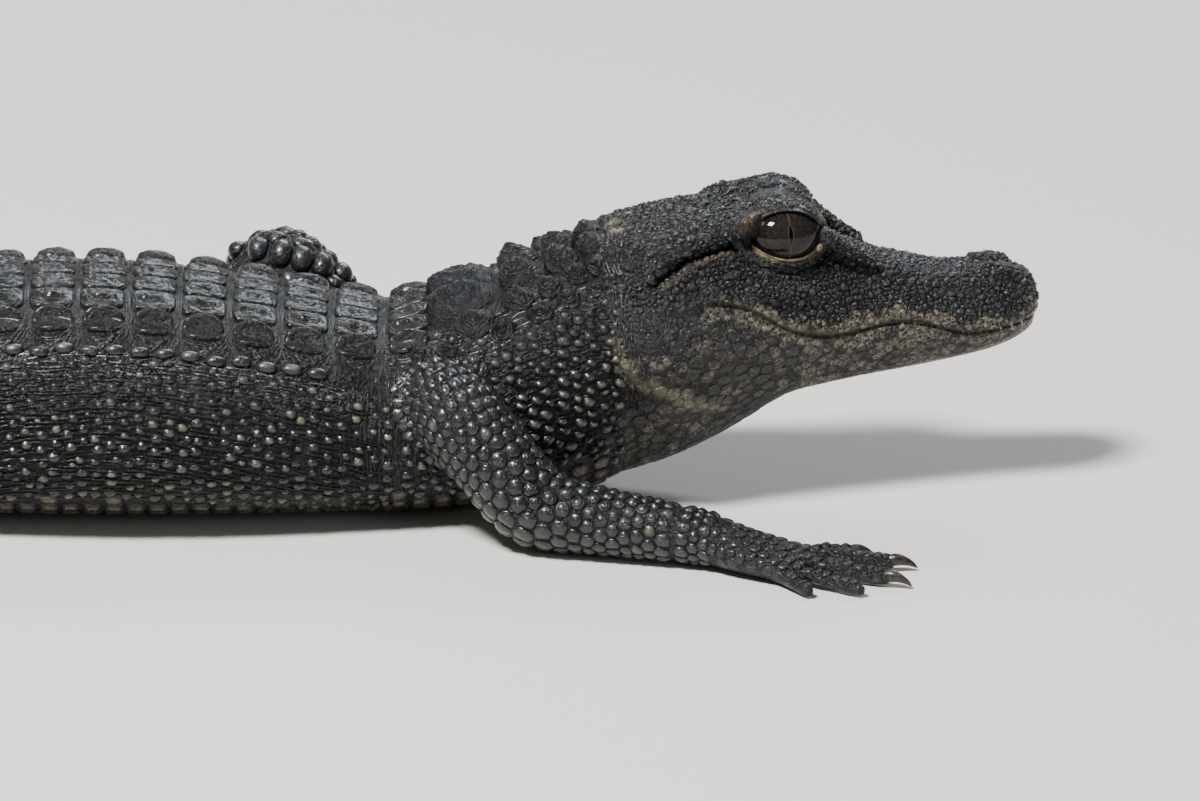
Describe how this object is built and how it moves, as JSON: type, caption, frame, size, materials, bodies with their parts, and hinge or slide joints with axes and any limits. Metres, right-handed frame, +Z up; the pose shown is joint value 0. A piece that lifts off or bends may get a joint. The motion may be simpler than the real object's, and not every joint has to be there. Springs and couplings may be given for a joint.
{
  "type": "alligator model",
  "caption": "A still, life-size model of a young American alligator lying on its belly with its head raised, plated back, crested tail and spread feet",
  "frame": {"origin": "on the floor under the middle of the belly, at the centre of the flat that the belly rests on", "axes": "+X towards the snout, +Y to the animal's left, +Z up"},
  "size_m": [0.5538, 0.1952, 0.0612],
  "materials": {
    "skin": "satin scaled hide, near black with cream spots",
    "jaw_skin": "satin scaled hide, mottled cream and brown",
    "eye": "clear gloss over a dark brown iris",
    "claw": "worn horn"
  },
  "bodies": {
    "root": {"head": "skin", "lower_jaw": "jaw_skin", "neck": "skin", "torso": "skin", "tail_root": "skin", "tail_middle": "skin", "tail_end": "skin", "eye_left": "eye", "eye_right": "eye", "foreleg_right_upper": "skin", "foreleg_right_lower": "skin", "forefoot_right": "skin", "forefoot_right_claw_1": "claw", "forefoot_right_claw_2": "claw", "forefoot_right_claw_3": "claw", "foreleg_left_upper": "skin", "foreleg_left_lower": "skin", "forefoot_left": "skin", "forefoot_left_claw_1": "claw", "forefoot_left_claw_2": "claw", "forefoot_left_claw_3": "claw", "hindleg_right_upper": "skin", "hindleg_right_lower": "skin", "hindfoot_right": "skin", "hindfoot_right_claw_1": "claw", "hindfoot_right_claw_2": "claw", "hindfoot_right_claw_3": "claw", "hindleg_left_upper": "skin", "hindleg_left_lower": "skin", "hindfoot_left": "skin", "hindfoot_left_claw_1": "claw", "hindfoot_left_claw_2": "claw", "hindfoot_left_claw_3": "claw"}
  },
  "joints": []
}
